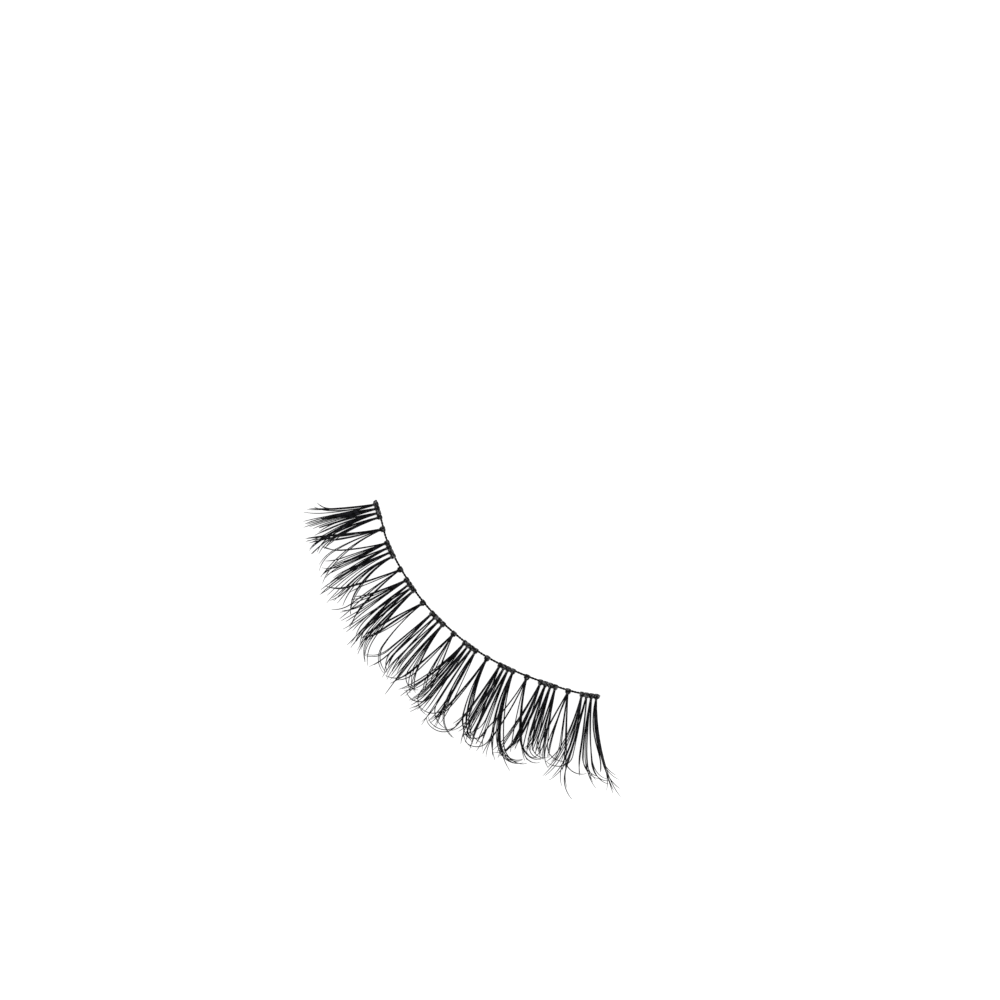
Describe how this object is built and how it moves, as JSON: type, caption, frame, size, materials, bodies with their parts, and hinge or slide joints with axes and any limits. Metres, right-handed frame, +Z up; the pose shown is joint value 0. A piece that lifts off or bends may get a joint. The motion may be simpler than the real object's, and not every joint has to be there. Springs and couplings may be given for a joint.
{
  "type": "false eyelash strip",
  "caption": "Curved strip of false eyelashes: fine curled hair tufts knotted onto a thin core thread.",
  "frame": {"origin": "middle of the underside of the strip's bounding box", "axes": "+X along the band's chord from the inner to the outer corner of the eye, hair pointing to -Y, +Z up from the surface that the strip lies on, the way that the hair tips curl"},
  "size_m": [0.0444, 0.0144, 0.005],
  "materials": {
    "black_thread": "matt, glue coated",
    "black_hair": "satin"
  },
  "bodies": {
    "root": {"band_thread": "black_thread", "tuft_01": "black_hair", "tuft_02": "black_hair", "tuft_03": "black_hair", "tuft_04": "black_hair", "tuft_05": "black_hair", "tuft_06": "black_hair", "tuft_07": "black_hair", "tuft_08": "black_hair", "tuft_09": "black_hair", "tuft_10": "black_hair", "tuft_11": "black_hair", "tuft_12": "black_hair", "tuft_13": "black_hair", "tuft_14": "black_hair", "tuft_15": "black_hair", "tuft_16": "black_hair", "tuft_17": "black_hair", "tuft_18": "black_hair", "tuft_19": "black_hair", "tuft_20": "black_hair", "tuft_21": "black_hair", "tuft_22": "black_hair", "tuft_23": "black_hair", "tuft_24": "black_hair", "tuft_25": "black_hair", "tuft_26": "black_hair", "tuft_27": "black_hair", "tuft_28": "black_hair", "tuft_29": "black_hair", "tuft_30": "black_hair", "tuft_31": "black_hair", "tuft_32": "black_hair", "tuft_33": "black_hair", "tuft_34": "black_hair", "tuft_35": "black_hair", "tuft_36": "black_hair", "tuft_37": "black_hair", "tuft_38": "black_hair", "tuft_39": "black_hair"}
  },
  "joints": []
}
